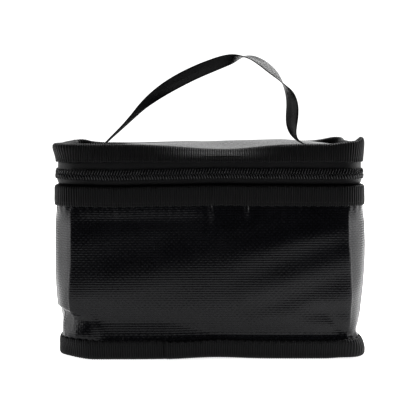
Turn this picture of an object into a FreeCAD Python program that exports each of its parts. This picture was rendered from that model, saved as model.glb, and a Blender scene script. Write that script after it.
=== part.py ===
import FreeCAD, Part
import math
import os

# Zip-top soft bag for lithium battery packs, millimetres.
# Origin: middle of the bag's underside. +X to the right, +Y to the back, +Z up.
# Walls are described by an inset: how far a layer lies inside the outer face of the body wall.

# Driving dimensions of the bag
BAG_W = 213.0          # width over the body wall
BAG_D = 113.0          # depth over the body wall
CORNER_R = 14.0        # plan radius of the wall's corners
RIM_TOP = 123.3        # top of the body's rim binding
LID_TOP = 152.0        # top of the lid's standing flange
CROWN_TOP = 151.0      # flat crown of the lid panel
ZIP_Z = 130.5          # middle of the zip chain

# Layers, from the outside in
SHELL_T = 0.8          # coated outer fabric
LINER_T = 0.6          # fire-resistant lining
TAPE_T = 0.7           # binding tape and zip tape
SEAM = TAPE_T          # a cut edge stops this far short of its folded binding

# Bindings
BOTTOM_BIND_H = 13.5
RIM_BIND_H = 13.3
LID_BIND_H = 11.6
DISH_INSET = 22.0      # where the bottom panel reaches the ground
CROWN_INSET = 14.0     # where the lid panel reaches its flat crown

# Zip
COIL_H = 3.6           # height of one row of the coil
COIL_T = 1.8
ROW_GAP = 1.6          # room between the two rows for the slider's post
ZIP_INSET = 0.9        # outer face of the zip tape beside the coil
ZIP_BACK_Y = 40.0      # the zip runs round the front and sides up to here
STOP_L = 2.0
HINGE_SLIT = 0.4       # between the two halves of the hinge fabric

# Sliders, which close nose to nose on the right side
SLIDER_L = 11.0
SLIDER_FRONT_Y = 8.0
SLIDER_REAR_Y = 21.0
CLEAR = 0.3            # running clearance
PLATE_HALF_H = 5.7
PULL_L = 24.0
PULL_W = 6.0
PULL_T = 1.0
PIN_R = 0.6
EYE_R = 1.6

# Carrying strap
STRAP_W = 10.0
STRAP_T = 1.2
STRAP_Y = -38.0
STRAP_STEPS = 5        # sections between two points of the strap's route
# Route of the free strap in its own XZ plane, left to right: x, z, twist of its width in degrees
STRAP_ROUTE = [
    (-66.6, 157.2, -4), (-53.4, 171.0, -25), (-39.9, 183.9, -47), (-21.9, 196.0, -60),
    (-2.0, 205.6, -56), (10.0, 209.7, -38), (22.2, 212.4, 0), (36.0, 208.2, 36), (47.5, 199.0, 26),
    (56.0, 187.3, -12), (59.0, 174.0, -50), (59.8, 165.0, -32), (61.6, 158.8, -6),
]
STRAP_ROOT_LEFT = [(-94.0, 151.65, 0), (-84.0, 151.65, 0), (-76.0, 151.7, 0), (-73.0, 152.2, 0),
                   (-70.6, 153.6, 0), (-68.0, 155.9, 0)]
STRAP_ROOT_RIGHT = [(63.8, 156.0, 0), (66.2, 153.6, 0), (68.6, 152.2, 0), (71.6, 151.7, 0),
                    (79.6, 151.65, 0), (89.6, 151.65, 0)]


def save(shape, node):
    if not shape.isValid() or shape.Volume <= 0:
        raise RuntimeError(node + " is not a sound solid")
    shape.exportStep("parts/" + node + ".step")
    print("%-18s %9.1f mm3, %d solid(s)" % (node, shape.Volume, len(shape.Solids)))


def block(x0, x1, y0, y1, z0, z1):
    return Part.makeBox(x1 - x0, y1 - y0, z1 - z0, FreeCAD.Vector(x0, y0, z0))


def plan_edges(inset, z):
    """Rounded rectangle at a height: four sides and four corner arcs, in order."""
    half_w = BAG_W / 2 - inset
    half_d = BAG_D / 2 - inset
    r = max(CORNER_R - inset, 2.0)
    edges = []
    for quarter, (sx, sy) in enumerate([(1, 1), (-1, 1), (-1, -1), (1, -1)]):
        cx = sx * (half_w - r)
        cy = sy * (half_d - r)
        points = []
        for step in range(3):
            a = math.radians(90 * quarter + 45 * step)
            points.append(FreeCAD.Vector(cx + r * math.cos(a), cy + r * math.sin(a), z))
        if edges:
            edges.append(Part.makeLine(edges[-1].Vertexes[-1].Point, points[0]))
        edges.append(Part.Arc(*points).toShape())
    edges.append(Part.makeLine(edges[-1].Vertexes[-1].Point, edges[0].Vertexes[0].Point))
    return edges


def skin(profile, capped=False):
    """A layer round the bag. The profile is a list of (inset, z), closed on itself,
    or closed by a flat face at each end when it is capped."""
    loops = [plan_edges(inset, z) for inset, z in profile]
    followers = loops[1:] if capped else loops[1:] + loops[:1]
    faces = []
    for low, high in zip(loops, followers):
        faces += [Part.makeRuledSurface(a, b) for a, b in zip(low, high)]
    if capped:
        faces += [Part.Face(Part.Wire(loops[0])), Part.Face(Part.Wire(loops[-1]))]
    shell = Part.makeShell(faces)
    shell.sewShape()
    solid = Part.makeSolid(shell)
    if solid.Volume < 0:
        solid.reverse()
    return solid


def front_run(ring, y_end):
    """The part of a ring that lies in front of y_end."""
    return ring.common(block(-BAG_W, BAG_W, -BAG_D, y_end, 0, 2 * LID_TOP))


def back_run(ring):
    """The part of a ring that lies behind the zip's ends."""
    return ring.common(block(-BAG_W, BAG_W, ZIP_BACK_Y, BAG_D, 0, 2 * LID_TOP))


# Body

WALL_TOP = RIM_TOP - SEAM
LINER_IN = SHELL_T + LINER_T
PANEL_OUT = LINER_IN + LINER_T
PANEL_IN = PANEL_OUT + SHELL_T
RIM_IN = LINER_IN + TAPE_T
ROW_LOW = ZIP_Z - ROW_GAP / 2 - COIL_H
ROW_HIGH = ZIP_Z + ROW_GAP / 2


def body_wall():
    return skin([(0, SEAM), (0, WALL_TOP), (SHELL_T, WALL_TOP), (SHELL_T, SEAM)])


def body_liner():
    return skin([(SHELL_T, SEAM), (SHELL_T, WALL_TOP), (LINER_IN, WALL_TOP), (LINER_IN, SEAM)])


def bottom_panel():
    """Hangs from the bottom seam as a dish whose middle lies on the ground."""
    return skin([(DISH_INSET, 0), (PANEL_IN, BOTTOM_BIND_H - 1.6), (PANEL_IN, SEAM), (PANEL_OUT, SEAM),
                 (PANEL_OUT, BOTTOM_BIND_H - 0.5), (DISH_INSET, SHELL_T)], capped=True)


def bottom_liner():
    return skin([(DISH_INSET, SHELL_T), (PANEL_OUT, BOTTOM_BIND_H - 0.5), (PANEL_OUT, SEAM),
                 (LINER_IN, SEAM), (LINER_IN, BOTTOM_BIND_H + 0.4), (DISH_INSET, LINER_IN)], capped=True)


def bottom_binding():
    """Tape folded round the seam that points down at the bag's foot."""
    inner_top = BOTTOM_BIND_H - 2.5
    return skin([(-TAPE_T, 0), (-TAPE_T, BOTTOM_BIND_H), (0, BOTTOM_BIND_H), (0, SEAM), (PANEL_IN, SEAM),
                 (PANEL_IN, inner_top), (PANEL_IN + TAPE_T, inner_top), (PANEL_IN + TAPE_T, 0)])


def rim_binding():
    """Tape folded over the wall's top edge."""
    low = RIM_TOP - RIM_BIND_H
    return skin([(-TAPE_T, low), (-TAPE_T, RIM_TOP), (RIM_IN, RIM_TOP), (RIM_IN, low + 2),
                 (LINER_IN, low + 2), (LINER_IN, WALL_TOP), (0, WALL_TOP), (0, low)])


def zip_tape_lower():
    """Sewn inside the rim, then stands outwards to carry the lower row."""
    edge = ROW_LOW + COIL_H - 0.4
    ring = skin([(RIM_IN, RIM_TOP - 10), (RIM_IN, RIM_TOP + 0.1), (ZIP_INSET, RIM_TOP + 1.4),
                 (ZIP_INSET, edge), (ZIP_INSET + TAPE_T, edge), (ZIP_INSET + TAPE_T, RIM_TOP + 1.7),
                 (RIM_IN + TAPE_T, RIM_TOP + 0.4), (RIM_IN + TAPE_T, RIM_TOP - 10)])
    return front_run(ring, ZIP_BACK_Y)


def coil_row(z_low):
    out = ZIP_INSET - COIL_T
    ring = skin([(out, z_low), (out, z_low + COIL_H), (ZIP_INSET, z_low + COIL_H), (ZIP_INSET, z_low)])
    return front_run(ring, ZIP_BACK_Y - STOP_L)


def zip_end_stops():
    x_in = BAG_W / 2 - ZIP_INSET
    x_out = x_in + COIL_T + 0.4
    stops = []
    for side in (-1, 1):
        low_x, high_x = sorted((side * x_in, side * x_out))
        stops.append(block(low_x, high_x, ZIP_BACK_Y - STOP_L, ZIP_BACK_Y, ROW_LOW - 0.2, ROW_HIGH - 1.4))
    return Part.makeCompound(stops)


def hinge_web_lower():
    """Lower half of the fabric that joins the lid to the body across the back."""
    top = ZIP_Z - HINGE_SLIT / 2
    ring = skin([(RIM_IN, RIM_TOP - 10), (RIM_IN, RIM_TOP + 0.1), (1.5, top), (1.5 + TAPE_T, top),
                 (RIM_IN + TAPE_T, RIM_TOP + 0.1), (RIM_IN + TAPE_T, RIM_TOP - 10)])
    return back_run(ring)


# Lid

FLANGE_TOP = LID_TOP - SEAM
FLANGE_LOW = LID_TOP - LID_BIND_H
LID_LINER_OUT = TAPE_T
LID_PANEL_OUT = LID_LINER_OUT + LINER_T
LID_PANEL_IN = LID_PANEL_OUT + SHELL_T


def lid_panel():
    """Rises from the lid's seam to a flat crown; its edge stands up inside the flange."""
    foot = FLANGE_LOW + 1.2
    return skin([(CROWN_INSET, CROWN_TOP - SHELL_T), (LID_PANEL_OUT, foot), (LID_PANEL_OUT, FLANGE_TOP),
                 (LID_PANEL_IN, FLANGE_TOP), (LID_PANEL_IN, foot + 1.3), (CROWN_INSET, CROWN_TOP)],
                capped=True)


def lid_liner():
    foot = FLANGE_LOW + 1.2
    under = CROWN_TOP - SHELL_T
    return skin([(CROWN_INSET, under - LINER_T), (LID_LINER_OUT, foot - 0.7), (LID_LINER_OUT, FLANGE_TOP),
                 (LID_PANEL_OUT, FLANGE_TOP), (LID_PANEL_OUT, foot), (CROWN_INSET, under)], capped=True)


def lid_binding():
    """Tape folded over the seam that stands up round the lid."""
    inner_low = FLANGE_LOW + 3.3
    return skin([(-TAPE_T, FLANGE_LOW), (-TAPE_T, LID_TOP), (LID_PANEL_IN + TAPE_T, LID_TOP),
                 (LID_PANEL_IN + TAPE_T, inner_low), (LID_PANEL_IN, inner_low), (LID_PANEL_IN, FLANGE_TOP),
                 (0, FLANGE_TOP), (0, FLANGE_LOW)])


def slider_notch():
    """Room for the two closed sliders in the lid's half of the zip."""
    reach = SLIDER_L / 2 + CLEAR
    return block(BAG_W / 2 - 6, BAG_W / 2 + 6, SLIDER_FRONT_Y - reach, SLIDER_REAR_Y + reach,
                 ZIP_Z, ZIP_Z + PLATE_HALF_H + CLEAR)


def zip_tape_upper():
    edge = ROW_HIGH + 0.4
    ring = skin([(0, FLANGE_TOP), (0, FLANGE_LOW + 0.6), (ZIP_INSET, FLANGE_LOW - 3.4), (ZIP_INSET, edge),
                 (ZIP_INSET + TAPE_T, edge), (ZIP_INSET + TAPE_T, FLANGE_LOW - 3.2),
                 (TAPE_T, FLANGE_LOW + 0.8), (TAPE_T, FLANGE_TOP)])
    return front_run(ring, ZIP_BACK_Y).cut(slider_notch())


def hinge_web_upper():
    low = ZIP_Z + HINGE_SLIT / 2
    ring = skin([(0, FLANGE_TOP), (0, FLANGE_LOW + 0.6), (1.5, low), (1.5 + TAPE_T, low),
                 (TAPE_T, FLANGE_LOW + 0.8), (TAPE_T, FLANGE_TOP)])
    return back_run(ring)


# Carrying strap

def strap_sections(route):
    """Smooth run through the route's points: centre, direction and twist of each section."""
    sections = []
    last = len(route) - 1
    for i in range(last):
        before, here, there, after = (route[max(0, min(last, k))] for k in (i - 1, i, i + 1, i + 2))
        steps = STRAP_STEPS + (1 if i == last - 1 else 0)
        for step in range(steps):
            t = step / STRAP_STEPS
            weights = (-t + 2 * t * t - t ** 3, 2 - 5 * t * t + 3 * t ** 3,
                       t + 4 * t * t - 3 * t ** 3, -t * t + t ** 3)
            slopes = (-1 + 4 * t - 3 * t * t, -10 * t + 9 * t * t, 1 + 8 * t - 9 * t * t, -2 * t + 3 * t * t)
            mixed = [0.5 * sum(w * p[k] for w, p in zip(weights, (before, here, there, after)))
                     for k in range(3)]
            heading = [0.5 * sum(w * p[k] for w, p in zip(slopes, (before, here, there, after)))
                       for k in range(2)]
            sections.append((mixed, heading))
    return sections


def strap(route):
    """Flat webbing lofted along a route, turned about its own length by the twist."""
    wires = []
    for (x, z, twist), (dx, dz) in strap_sections(route):
        length = math.hypot(dx, dz)
        out = FreeCAD.Vector(-dz / length, 0, dx / length)
        turn = math.radians(twist)
        side = FreeCAD.Vector(0, math.cos(turn), 0) + out * math.sin(turn)
        face = out * math.cos(turn) - FreeCAD.Vector(0, math.sin(turn), 0)
        centre = FreeCAD.Vector(x, STRAP_Y, z)
        corners = [centre + side * (a * STRAP_W / 2) + face * (b * STRAP_T / 2)
                   for a, b in ((1, 1), (1, -1), (-1, -1), (-1, 1))]
        wires.append(Part.makePolygon(corners + corners[:1]))
    return Part.makeLoft(wires, True, True)


# Sliders and pull tabs

SLIDER_IN = BAG_W / 2 - ZIP_INSET - TAPE_T - CLEAR
SLIDER_OUT = BAG_W / 2 - ZIP_INSET + COIL_T + CLEAR
FRONT_PLATE = 1.2
PIN_X = SLIDER_OUT + FRONT_PLATE + EYE_R + CLEAR


def slider(y, nose):
    """Two plates round the chain, joined by a post at the nose (+1 or -1 along Y)."""
    half_l = SLIDER_L / 2
    hook_x = BAG_W / 2 - ZIP_INSET + CLEAR
    hook_z = ROW_GAP / 2 + COIL_H + CLEAR
    back_half_h = hook_z + 0.1
    body = block(SLIDER_IN - 1, SLIDER_IN, y - half_l, y + half_l, ZIP_Z - back_half_h, ZIP_Z + back_half_h)
    body = body.fuse(block(SLIDER_OUT, SLIDER_OUT + FRONT_PLATE, y - half_l, y + half_l,
                           ZIP_Z - PLATE_HALF_H, ZIP_Z + PLATE_HALF_H))
    for low in (ZIP_Z - PLATE_HALF_H, ZIP_Z + hook_z):
        body = body.fuse(block(hook_x, SLIDER_OUT, y - half_l, y + half_l, low, low + PLATE_HALF_H - hook_z))
    post_y = sorted((y + nose * half_l, y + nose * (half_l - 2.5)))
    body = body.fuse(block(SLIDER_IN, SLIDER_OUT, post_y[0], post_y[1], ZIP_Z - 0.5, ZIP_Z + 0.5))
    for side in (-1, 1):
        foot = y + side * 3.3
        body = body.fuse(block(SLIDER_OUT + FRONT_PLATE, PIN_X, foot - 0.5, foot + 0.5,
                               ZIP_Z - PIN_R, ZIP_Z + PIN_R))
    pin = Part.makeCylinder(PIN_R, 7.6, FreeCAD.Vector(PIN_X, y - 3.8, ZIP_Z), FreeCAD.Vector(0, 1, 0))
    return body.fuse(pin).removeSplitter()


def pull_tab(y):
    """Flat tab with an eye round the slider's pin and a hole near its foot."""
    along = FreeCAD.Vector(0, 1, 0)
    eye_half = 2.0
    foot = ZIP_Z - PULL_L
    blade = block(PIN_X - PULL_T / 2, PIN_X + PULL_T / 2, y - PULL_W / 2, y + PULL_W / 2, foot, ZIP_Z - 4)
    neck = block(PIN_X - PULL_T / 2, PIN_X + PULL_T / 2, y - eye_half, y + eye_half, ZIP_Z - 4, ZIP_Z - 1.2)
    eye = Part.makeCylinder(EYE_R, 2 * eye_half, FreeCAD.Vector(PIN_X, y - eye_half, ZIP_Z), along)
    bore = Part.makeCylinder(PIN_R + CLEAR, 2 * eye_half + 2, FreeCAD.Vector(PIN_X, y - eye_half - 1, ZIP_Z),
                             along)
    hole = Part.makeCylinder(1.4, 4, FreeCAD.Vector(PIN_X - 2, y, foot + 4), FreeCAD.Vector(1, 0, 0))
    return blade.fuse(neck).fuse(eye).cut(bore).cut(hole).removeSplitter()


def main():
    os.makedirs("parts", exist_ok=True)
    save(body_wall(), "body_wall")
    save(body_liner(), "body_liner")
    save(bottom_panel(), "bottom_panel")
    save(bottom_liner(), "bottom_liner")
    save(bottom_binding(), "bottom_binding")
    save(rim_binding(), "rim_binding")
    save(zip_tape_lower(), "zip_tape_lower")
    save(coil_row(ROW_LOW), "zip_coil_lower")
    save(zip_end_stops(), "zip_end_stops")
    save(hinge_web_lower(), "hinge_web_lower")
    save(lid_panel(), "lid_panel")
    save(lid_liner(), "lid_liner")
    save(lid_binding(), "lid_binding")
    save(zip_tape_upper(), "zip_tape_upper")
    save(coil_row(ROW_HIGH).cut(slider_notch()), "zip_coil_upper")
    save(hinge_web_upper(), "hinge_web_upper")
    save(strap(STRAP_ROUTE), "handle_strap")
    save(strap(STRAP_ROOT_LEFT), "strap_end_left")
    save(strap(STRAP_ROOT_RIGHT), "strap_end_right")
    save(slider(SLIDER_FRONT_Y, 1), "slider_front")
    save(slider(SLIDER_REAR_Y, -1), "slider_rear")
    save(pull_tab(SLIDER_FRONT_Y), "pull_tab_front")
    save(pull_tab(SLIDER_REAR_Y), "pull_tab_rear")


main()
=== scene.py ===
import math

import bmesh
import bpy
import numpy as np
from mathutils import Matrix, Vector


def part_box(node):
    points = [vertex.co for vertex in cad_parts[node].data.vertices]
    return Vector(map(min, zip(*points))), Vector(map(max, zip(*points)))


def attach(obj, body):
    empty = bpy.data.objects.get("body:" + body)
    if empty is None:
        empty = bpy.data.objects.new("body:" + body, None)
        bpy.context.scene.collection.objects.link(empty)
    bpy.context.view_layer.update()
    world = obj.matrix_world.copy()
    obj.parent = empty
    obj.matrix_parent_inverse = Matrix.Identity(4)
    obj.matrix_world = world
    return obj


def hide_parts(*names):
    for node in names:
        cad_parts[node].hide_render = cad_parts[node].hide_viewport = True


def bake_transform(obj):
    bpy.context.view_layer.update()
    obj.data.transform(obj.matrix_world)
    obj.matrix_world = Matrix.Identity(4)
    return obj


# Black zip-top battery bag. Shapes are worked out in millimetres and written in metres.
# Round the bag runs a plan line: s is the distance along it in millimetres, from the middle
# of the back by the left side to the middle of the front and on by the right side.

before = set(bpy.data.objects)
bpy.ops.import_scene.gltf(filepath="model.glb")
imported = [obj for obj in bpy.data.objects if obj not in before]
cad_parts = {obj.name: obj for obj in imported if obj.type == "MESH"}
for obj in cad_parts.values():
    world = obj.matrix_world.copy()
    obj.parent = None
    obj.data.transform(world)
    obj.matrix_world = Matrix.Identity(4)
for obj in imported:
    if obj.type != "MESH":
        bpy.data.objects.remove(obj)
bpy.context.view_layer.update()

MM = 0.001


def node_box(node):
    low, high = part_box(node)
    return [v / MM for v in low], [v / MM for v in high]


WALL_LOW, WALL_HIGH = node_box("body_wall")
RIM_LOW, RIM_HIGH = node_box("rim_binding")
BOTTOM_HIGH = node_box("bottom_binding")[1]
FLANGE_LOW, FLANGE_HIGH = node_box("lid_binding")
ROW_HIGH = node_box("zip_coil_lower")[1]
UPPER_LOW = node_box("zip_coil_upper")[0]
TAPE_LOW, TAPE_HIGH = node_box("zip_tape_lower")
STRAP_LOW, STRAP_HIGH = node_box("handle_strap")

HALF_W = WALL_HIGH[0]
HALF_D = WALL_HIGH[1]
CORNER_R = 14.0
SIDE_W = HALF_W - CORNER_R
SIDE_D = HALF_D - CORNER_R
ARC = math.pi * CORNER_R / 2
ROUND = 4 * SIDE_W + 4 * SIDE_D + 4 * ARC
ZIP_Z = (ROW_HIGH[2] + UPPER_LOW[2]) / 2
ZIP_END_Y = TAPE_HIGH[1]
STRAP_Y = (STRAP_LOW[1] + STRAP_HIGH[1]) / 2

SHELL_T = 0.8                    # coated outer cloth
LINER_T = 0.6
TAPE_T = 0.8
RIB_PITCH = ROUND / 392          # one rib of the grosgrain binding
WEAVE_PITCH = ROUND / 370        # one thread of the coated fabric
TOOTH_PITCH = 1.9                # one turn of the zip's coil
RIB = 0.6                        # how far a rib of the tape stands out


# ---------------------------------------------------------------- curves and forms

def bump(x, centre, width):
    return np.exp(-((x - centre) / width) ** 2)


def ease(x, low, high):
    t = np.clip((x - low) / (high - low), 0, 1)
    return t * t * (3 - 2 * t)


def through(x, knots):
    """Smooth curve through a few (x, value) knots."""
    xs = np.array([k[0] for k in knots], float)
    ys = np.array([k[1] for k in knots], float)
    slopes = np.gradient(ys, xs)
    x = np.clip(np.asarray(x, float), xs[0], xs[-1])
    i = np.clip(np.searchsorted(xs, x, side="right") - 1, 0, len(xs) - 2)
    h = xs[i + 1] - xs[i]
    t = (x - xs[i]) / h
    return ((2 * t ** 3 - 3 * t ** 2 + 1) * ys[i] + (t ** 3 - 2 * t ** 2 + t) * h * slopes[i]
            + (3 * t ** 2 - 2 * t ** 3) * ys[i + 1] + (t ** 3 - t ** 2) * h * slopes[i + 1])


def ripple(s, seed, longest=ROUND / 3, count=7):
    """Gentle unevenness round the bag, between about -1 and 1, the same on every run."""
    rng = np.random.default_rng(seed)
    total = np.zeros_like(np.asarray(s, float))
    for k in range(count):
        waves = round(ROUND / longest) + k * 3
        size = rng.uniform(0.5, 1)
        total = total + size * np.sin(2 * math.pi * (waves * s / ROUND + rng.random())) / (k + 2)
    return total


def plan(s):
    """Point and outward direction of the plan line at s."""
    s = np.mod(np.asarray(s, float), ROUND)
    x, y, nx, ny = (np.zeros_like(s) for _ in range(4))
    runs = [(SIDE_W, 0, HALF_D, -1, 0), (ARC, -SIDE_W, SIDE_D, 90, None),
            (2 * SIDE_D, -HALF_W, SIDE_D, 0, -1), (ARC, -SIDE_W, -SIDE_D, 180, None),
            (2 * SIDE_W, -SIDE_W, -HALF_D, 1, 0), (ARC, SIDE_W, -SIDE_D, 270, None),
            (2 * SIDE_D, HALF_W, -SIDE_D, 0, 1), (ARC, SIDE_W, SIDE_D, 0, None),
            (SIDE_W + 1e-6, SIDE_W, HALF_D, -1, 0)]
    start = 0.0
    for length, x0, y0, a, b in runs:
        here = (s >= start) & (s <= start + length)
        d = s[here] - start
        if b is None:
            turn = np.radians(a) + d / CORNER_R
            nx[here], ny[here] = np.cos(turn), np.sin(turn)
            x[here], y[here] = x0 + CORNER_R * nx[here], y0 + CORNER_R * ny[here]
        else:
            nx[here], ny[here] = b, -a
            x[here], y[here] = x0 + a * d, y0 + b * d
        start += length
    return x, y, nx, ny


def corner(s):
    """1 in the middle of a plan corner, falling to 0 on the straight sides."""
    x, y, _, _ = plan(s)
    return ease(np.abs(x), SIDE_W - 12, HALF_W - 3) * ease(np.abs(y), SIDE_D - 12, HALF_D - 3)


# Height against how far the bag stands out from its pattern there.
BAND_FORM = [(0, -0.5), (7, 0.3), (13, 0.8), (17, -0.4), (26, 0.0), (96, 0.4), (105, 0.8), (110, 0.7),
             (118, 0.5), (131, 1.0), (140, 0.3), (152, 0.0)]
SIDE_FORM = [(0, 1.2), (7, 0.9), (13, 0.3), (17, -0.7), (24, 0.9), (42, 3.2), (76, 4.8), (98, 3.4),
             (110, 1.9), (118, 1.4), (131, 1.6), (140, 0.3), (152, 0.0)]
FRONT_SWELL = 3.1
SEAM_Z, RIM_Z = 15.0, 109.0


def front_swell(x, z):
    """The front's bulge, whose crest climbs from the lower left to the upper right."""
    left = 1 - ease(x, -38, 22)
    foot = SEAM_Z + 12 * left
    crest = 48 + 38 * ease(x, -95, 100)
    low = np.clip((z - foot) / (crest - foot), 0, 1)
    high = np.clip((z - crest) / (RIM_Z - crest), 0, 1)
    below, above = np.sin(math.pi / 2 * low) ** 1.1, np.cos(math.pi / 2 * high) ** 1.3
    out = FRONT_SWELL * np.where(z < crest, below, above)
    slant = z - 0.36 * x
    wall = ease(z, 22, 40) * (1 - ease(z, 88, 106))
    out = out + 0.34 * np.sin(2 * math.pi * (slant - 4) / 27) * ease(x, -10, 60) * wall
    out = out + 0.26 * np.sin(2 * math.pi * (z - 0.2 * x) / 34 + 1.1) * (1 - ease(x, -40, 20)) * wall
    out = out - 1.0 * bump(x, 78, 15) * bump(z, 35, 6)
    out = out + 1.7 * (1 - ease(z, 17, 29)) * left * ease(x, -100, -84)
    out = out + 2.3 * bump(x, -89, 10) * bump(z, 20, 9) * ease(z, 14, 17)
    out = out + 0.8 * bump(x, -79 - 0.25 * (z - 24), 3.0) * bump(z, 24, 8)
    out = out + 1.0 * ease(z, 98, 110) * (1 - ease(x, -14, 4)) * ease(x, -98, -84)
    out = out + 0.5 * ease(z, 101, 110) * bump(x, 45, 9)
    return out


def corner_facet(s, z):
    """The corners fold into a narrow facet: 0 on the flat sides, 1 along its middle."""
    x, _, nx, ny = plan(s)
    turn = np.degrees(np.arctan2(np.abs(nx), np.abs(ny)))
    fold = 16 + np.where(x > 0, 13, 4) * (1 - ease(z, 22, 92)) + 1.2 * np.sin(z / 11 + x / 40)
    return np.sin(math.pi * np.clip((turn - fold) / (90 - fold), 0, 1)) ** 0.62


def form(s, z):
    """How far the soft bag stands out from its pattern, at s and height z."""
    x, y, nx, ny = plan(s)
    side = np.abs(nx) ** 2
    out = through(z, BAND_FORM) * (1 - side) + through(z, SIDE_FORM) * side
    wall = ease(z, 14, 34) * (1 - ease(z, 96, 112))
    back_swell = 2.4 * np.sin(math.pi * np.clip((z - SEAM_Z) / (RIM_Z - SEAM_Z), 0, 1))
    swell = np.where(ny < 0, front_swell(x, z), back_swell)
    out = out + swell * (1 - side)
    out = out + 0.9 * ease(-ny, 0.5, 0.95) * ease(x, -30, 90) * ease(z, 1, 13) * (1 - ease(z, 13, 18))
    out = out - (1.5 - 0.7 * np.sign(y)) * corner_facet(s, z) * wall
    out = out + 0.3 * ripple(s + 0.35 * z, 3) * wall
    out = out + 0.5 * corner(s) * ease(z, 122, 129) * (1 - ease(z, 134, 142))
    out = out - 1.3 * ease(-nx, 0.3, 0.9) * bump(z, 74, 26)
    pull_room = ease(nx, 0.3, 0.9) * (1 - ease(np.abs(y), 28, 41))
    out = out - 2.6 * pull_room * ease(z, 84, 103) * (1 - ease(z, 124, 132))
    low_left = ease(-y, 30, 45) * (1 - ease(x, -99, -81))
    slant = z + 0.2 * (x + 103)
    out = out - 4.6 * ease(slant, 17, 31) * (1 - ease(slant, 31, 36.5)) * low_left
    flare = corner(s) * ease(-y, 20, 50) * (4.0 * ease(x, 90, 105) - 2.6 * ease(-x, 60, 100))
    return out + flare * (1 - ease(z, 5, 20))


def creases(s, z):
    """Small folds and puckers of the coated fabric, beside its seams."""
    x, _, _, ny = plan(s)
    front = ease(-ny, 0.5, 0.95)
    under_rim = ease(z, 92, 108)
    out = 1.25 * bump(x, 0.9 + 0.06 * (108 - z), 1.5) * under_rim ** 1.5
    out = out + 1.0 * bump(x, 26.0 - 0.04 * (108 - z), 1.4) * ease(z, 97, 108) ** 1.5
    out = out - 0.6 * bump(x, 13.5, 6.5) * under_rim - 0.5 * bump(x, 33, 4.5) * under_rim
    out = out + 0.35 * bump(x, -64, 2.2) * ease(z, 98, 109) + 0.4 * bump(x, 62, 2.2) * ease(z, 101, 109)
    pleats = np.maximum(0, np.sin(2 * math.pi * (x + 0.8 * np.sin(x / 9)) / 4.1)) ** 2
    out = out + 0.55 * pleats * ease(x, -94, -84) * (1 - ease(x, -52, -42)) * (1 - ease(z, 13, 22))
    out = out - 0.9 * bump(x + 0.8 * (z - 20), 94, 4.5) * bump(z, 24, 8)
    out = out * front
    seam = (1 - ease(z, 13, 21)) + ease(z, 101, 110)
    out = out + 0.2 * np.sin(2 * math.pi * s * round(ROUND / 5.2) / ROUND + 2.5 * ripple(s, 8)) * seam
    upright = corner(s) * ease(z, 18, 40) * (1 - ease(z, 90, 110))
    out = out + 0.2 * upright * np.sin(s / 5.5 + 0.05 * z)
    return out


def bottom_lift(s, z):
    """The foot's corners curl up a little, and its front lifts right of the tape's joint."""
    x, _, _, ny = plan(s)
    front = ease(-ny, 0.3, 0.95)
    return (1.3 * corner(s) + 1.2 * front * bump(x, 1, 24)) * (1 - ease(z, 4, 26))


def rim_wave(s):
    x, _, _, ny = plan(s)
    front = ease(-ny, 0.3, 0.95)
    return front * (-0.7 * bump(x, -70, 30) + 0.2 * bump(x, 10, 25)) + 0.25 * ripple(s, 21)


def body_point(s, offset, z):
    """Point of the body, offset outwards from the plan line, with the bag's soft form."""
    x, y, nx, ny = plan(s)
    rise = rim_wave(s) * ease(z, 90, 112)
    out = offset + form(s, z)
    return np.stack([x + nx * out, y + ny * out, z + bottom_lift(s, z) + rise], -1) * MM


# ---------------------------------------------------------------- meshes

def finish_piece(obj, body, material, replaced=()):
    obj.data.materials.append(material)
    if replaced:
        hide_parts(*replaced)
    if body:
        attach(obj, body)
    return obj


def mesh_object(name, verts, faces, smooth=True):
    me = bpy.data.meshes.new(name)
    me.from_pydata([tuple(v) for v in verts], [], [tuple(f) for f in faces])
    me.validate()
    me.polygons.foreach_set("use_smooth", [smooth] * len(me.polygons))
    obj = bpy.data.objects.new(name, me)
    bpy.context.scene.collection.objects.link(obj)
    return obj


def grid_object(name, points, wrap_s, wrap_t, s_marks, t_marks, caps=False):
    """Quad grid from points[i, j]. It carries the cloth's own coordinates, in millimetres,
    for weaves, as s_marks and t_marks: one mark more than points where the grid wraps."""
    ns, nt = points.shape[:2]
    verts = points.reshape(-1, 3)
    i = np.arange(ns if wrap_s else ns - 1)
    j = np.arange(nt if wrap_t else nt - 1)
    ii, jj = (a.ravel() for a in np.meshgrid(i, j, indexing="ij"))
    i2, j2 = (ii + 1) % ns, (jj + 1) % nt
    faces = np.stack([ii * nt + jj, i2 * nt + jj, i2 * nt + j2, ii * nt + j2], -1)
    marks_s = np.stack([s_marks[ii], s_marks[ii + 1], s_marks[ii + 1], s_marks[ii]], -1)
    marks_t = np.stack([t_marks[jj], t_marks[jj], t_marks[jj + 1], t_marks[jj + 1]], -1)
    me = bpy.data.meshes.new(name)
    me.vertices.add(len(verts))
    me.vertices.foreach_set("co", verts.ravel())
    face_list = faces.tolist()
    cap_faces = []
    if caps:
        cap_faces = [list(range(nt)), list(range((ns - 1) * nt, ns * nt))[::-1]]
    corners = [v for f in face_list + cap_faces for v in f]
    sizes = [4] * len(face_list) + [len(f) for f in cap_faces]
    me.loops.add(len(corners))
    me.loops.foreach_set("vertex_index", corners)
    me.polygons.add(len(sizes))
    me.polygons.foreach_set("loop_start", np.concatenate([[0], np.cumsum(sizes)[:-1]]))
    me.polygons.foreach_set("loop_total", sizes)
    me.update(calc_edges=True)
    me.polygons.foreach_set("use_smooth", [True] * len(sizes))
    cloth = np.zeros((len(corners), 3), np.float32)
    cloth[:faces.size, 0] = marks_s.ravel()
    cloth[:faces.size, 1] = marks_t.ravel()
    layer = me.attributes.new("cloth", "FLOAT_VECTOR", "CORNER")
    layer.data.foreach_set("vector", cloth.ravel())
    obj = bpy.data.objects.new(name, me)
    bpy.context.scene.collection.objects.link(obj)
    return obj


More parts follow.
